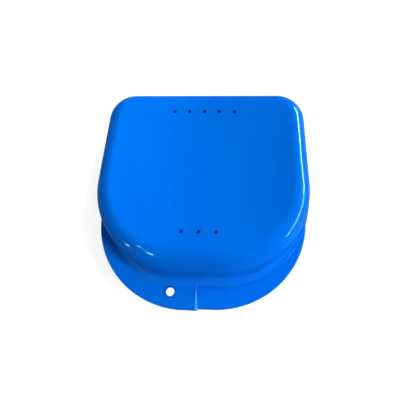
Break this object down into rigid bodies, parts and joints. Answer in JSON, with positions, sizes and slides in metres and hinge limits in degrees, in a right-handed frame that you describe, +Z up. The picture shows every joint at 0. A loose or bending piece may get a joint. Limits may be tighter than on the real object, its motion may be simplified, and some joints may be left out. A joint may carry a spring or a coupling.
{
  "type": "orthodontic retainer case",
  "caption": "D-shaped hinged plastic case for an orthodontic retainer, with rounded edges, air vents, and a front lip split between lid and base with a lanyard hole.",
  "frame": {"origin": "centre of the footprint's box, on the surface that the flat underside rests on", "axes": "+Z up from the base to the lid, +Y from the front lip to the hinge, +X to the right seen from the front"},
  "size_m": [0.077, 0.0846, 0.0268],
  "materials": {
    "base_plastic": "glossy moulded polypropylene",
    "lid_plastic": "glossy moulded polypropylene"
  },
  "bodies": {
    "base": {"base": "base_plastic"},
    "lid": {"lid": "lid_plastic"}
  },
  "joints": [
    {"name": "lid_hinge", "type": "hinge", "parent": "base", "child": "lid", "pos_m": [0, 0.04005, 0.0134], "axis": [-1, 0, 0], "range_deg": [0, 180]}
  ]
}
